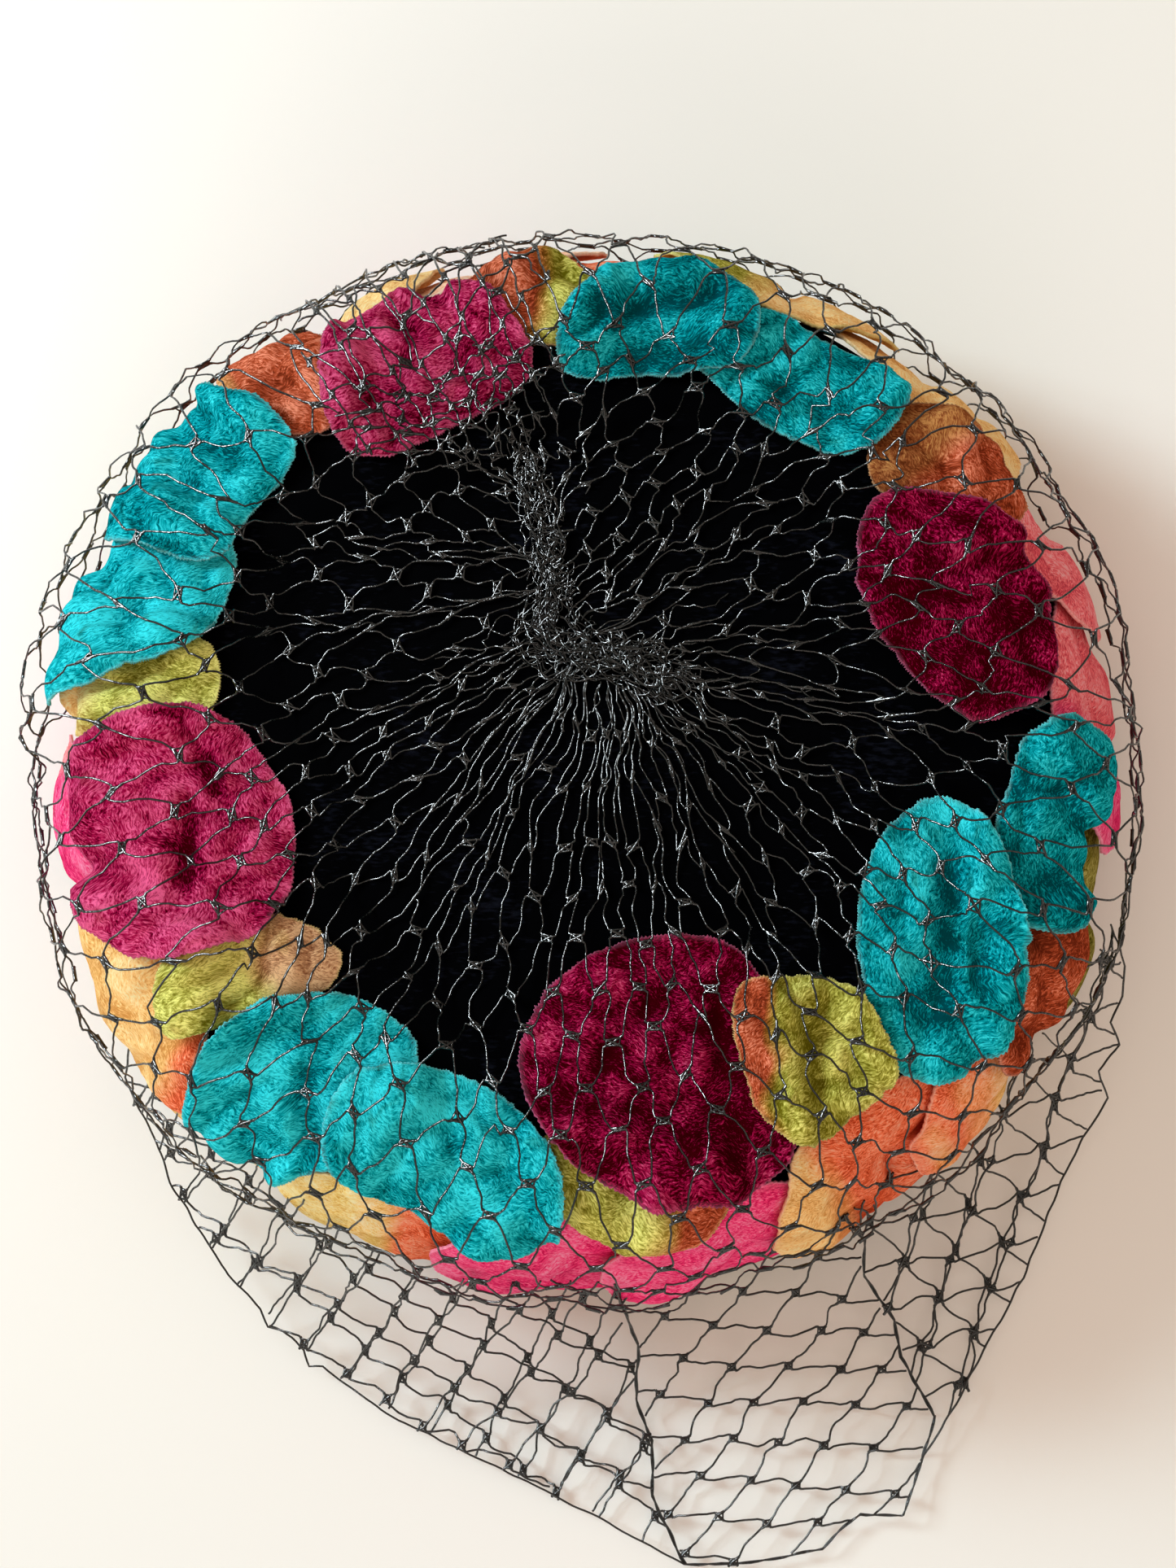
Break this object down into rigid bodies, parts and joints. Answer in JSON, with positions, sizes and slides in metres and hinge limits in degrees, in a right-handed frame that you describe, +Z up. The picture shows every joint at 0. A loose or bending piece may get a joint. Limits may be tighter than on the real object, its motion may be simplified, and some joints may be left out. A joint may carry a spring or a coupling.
{
  "type": "pillbox hat",
  "caption": "Black velvet pillbox hat with sewn-on velvet leaves in bright colours and a net veil that lies loose in front; open below for the head.",
  "frame": {"origin": "middle of the whole footprint, veil included, on the surface that the hat rests on", "axes": "+Z up, through the crown's top; -Y towards the loose stretch of veil in front; +X to the right as the picture shows the hat"},
  "size_m": [0.1958, 0.2366, 0.0689],
  "materials": {
    "black_velvet": "matt black velvet",
    "magenta_velvet": "crushed velvet with silky highlights",
    "pink_velvet": "crushed velvet with silky highlights",
    "teal_velvet": "crushed velvet with silky highlights",
    "chartreuse_velvet": "crushed velvet with silky highlights",
    "olive_velvet": "crushed velvet with silky highlights",
    "rust_velvet": "crushed velvet with silky highlights",
    "orange_velvet": "crushed velvet with silky highlights",
    "amber_velvet": "crushed velvet with silky highlights",
    "yellow_velvet": "crushed velvet with silky highlights",
    "coral_velvet": "crushed velvet with silky highlights",
    "peach_velvet": "crushed velvet with silky highlights",
    "veil_thread": "knotted black nylon net with a faint grey glint"
  },
  "bodies": {
    "root": {"crown": "black_velvet", "lower_leaf_01_olive": "olive_velvet", "lower_leaf_02_pink": "pink_velvet", "lower_leaf_03_chartreuse": "chartreuse_velvet", "lower_leaf_04_pink": "pink_velvet", "lower_leaf_05_peach": "peach_velvet", "lower_leaf_06_amber": "amber_velvet", "lower_leaf_07_coral": "coral_velvet", "lower_leaf_08_olive": "olive_velvet", "lower_leaf_09_amber": "amber_velvet", "lower_leaf_10_rust": "rust_velvet", "lower_leaf_11_coral": "coral_velvet", "lower_leaf_12_yellow": "yellow_velvet", "top_leaf_01_orange": "orange_velvet", "top_leaf_02_chartreuse": "chartreuse_velvet", "top_leaf_03_rust": "rust_velvet", "top_leaf_04_rust": "rust_velvet", "top_leaf_05_orange": "orange_velvet", "top_leaf_06_rust": "rust_velvet", "top_leaf_07_chartreuse": "chartreuse_velvet", "top_leaf_08_teal": "teal_velvet", "top_leaf_09_teal": "teal_velvet", "top_leaf_10_chartreuse": "chartreuse_velvet", "top_leaf_11_teal": "teal_velvet", "top_leaf_12_teal": "teal_velvet", "top_leaf_13_teal": "teal_velvet", "top_leaf_14_teal": "teal_velvet", "top_leaf_15_magenta": "magenta_velvet", "top_leaf_16_teal": "teal_velvet", "top_leaf_17_magenta": "magenta_velvet", "top_leaf_18_magenta": "magenta_velvet", "top_leaf_19_teal": "teal_velvet", "top_leaf_20_magenta": "magenta_velvet", "top_leaf_21_chartreuse": "chartreuse_velvet", "upper_leaf_01_coral": "coral_velvet", "upper_leaf_02_peach": "peach_velvet", "upper_leaf_03_amber": "amber_velvet", "upper_leaf_04_coral": "coral_velvet", "upper_leaf_05_yellow": "yellow_velvet", "upper_leaf_06_amber": "amber_velvet", "upper_leaf_07_pink": "pink_velvet", "upper_leaf_08_peach": "peach_velvet", "upper_leaf_09_yellow": "yellow_velvet", "upper_leaf_10_orange": "orange_velvet", "upper_leaf_11_pink": "pink_velvet", "upper_leaf_12_pink": "pink_velvet", "upper_leaf_13_coral": "coral_velvet", "upper_leaf_14_amber": "amber_velvet", "upper_leaf_15_olive": "olive_velvet", "upper_leaf_16_pink": "pink_velvet", "upper_leaf_17_orange": "orange_velvet", "upper_leaf_18_amber": "amber_velvet", "upper_leaf_19_olive": "olive_velvet", "veil_front_fall": "veil_thread", "veil_gather": "veil_thread", "veil_over_crown": "veil_thread"}
  },
  "joints": []
}
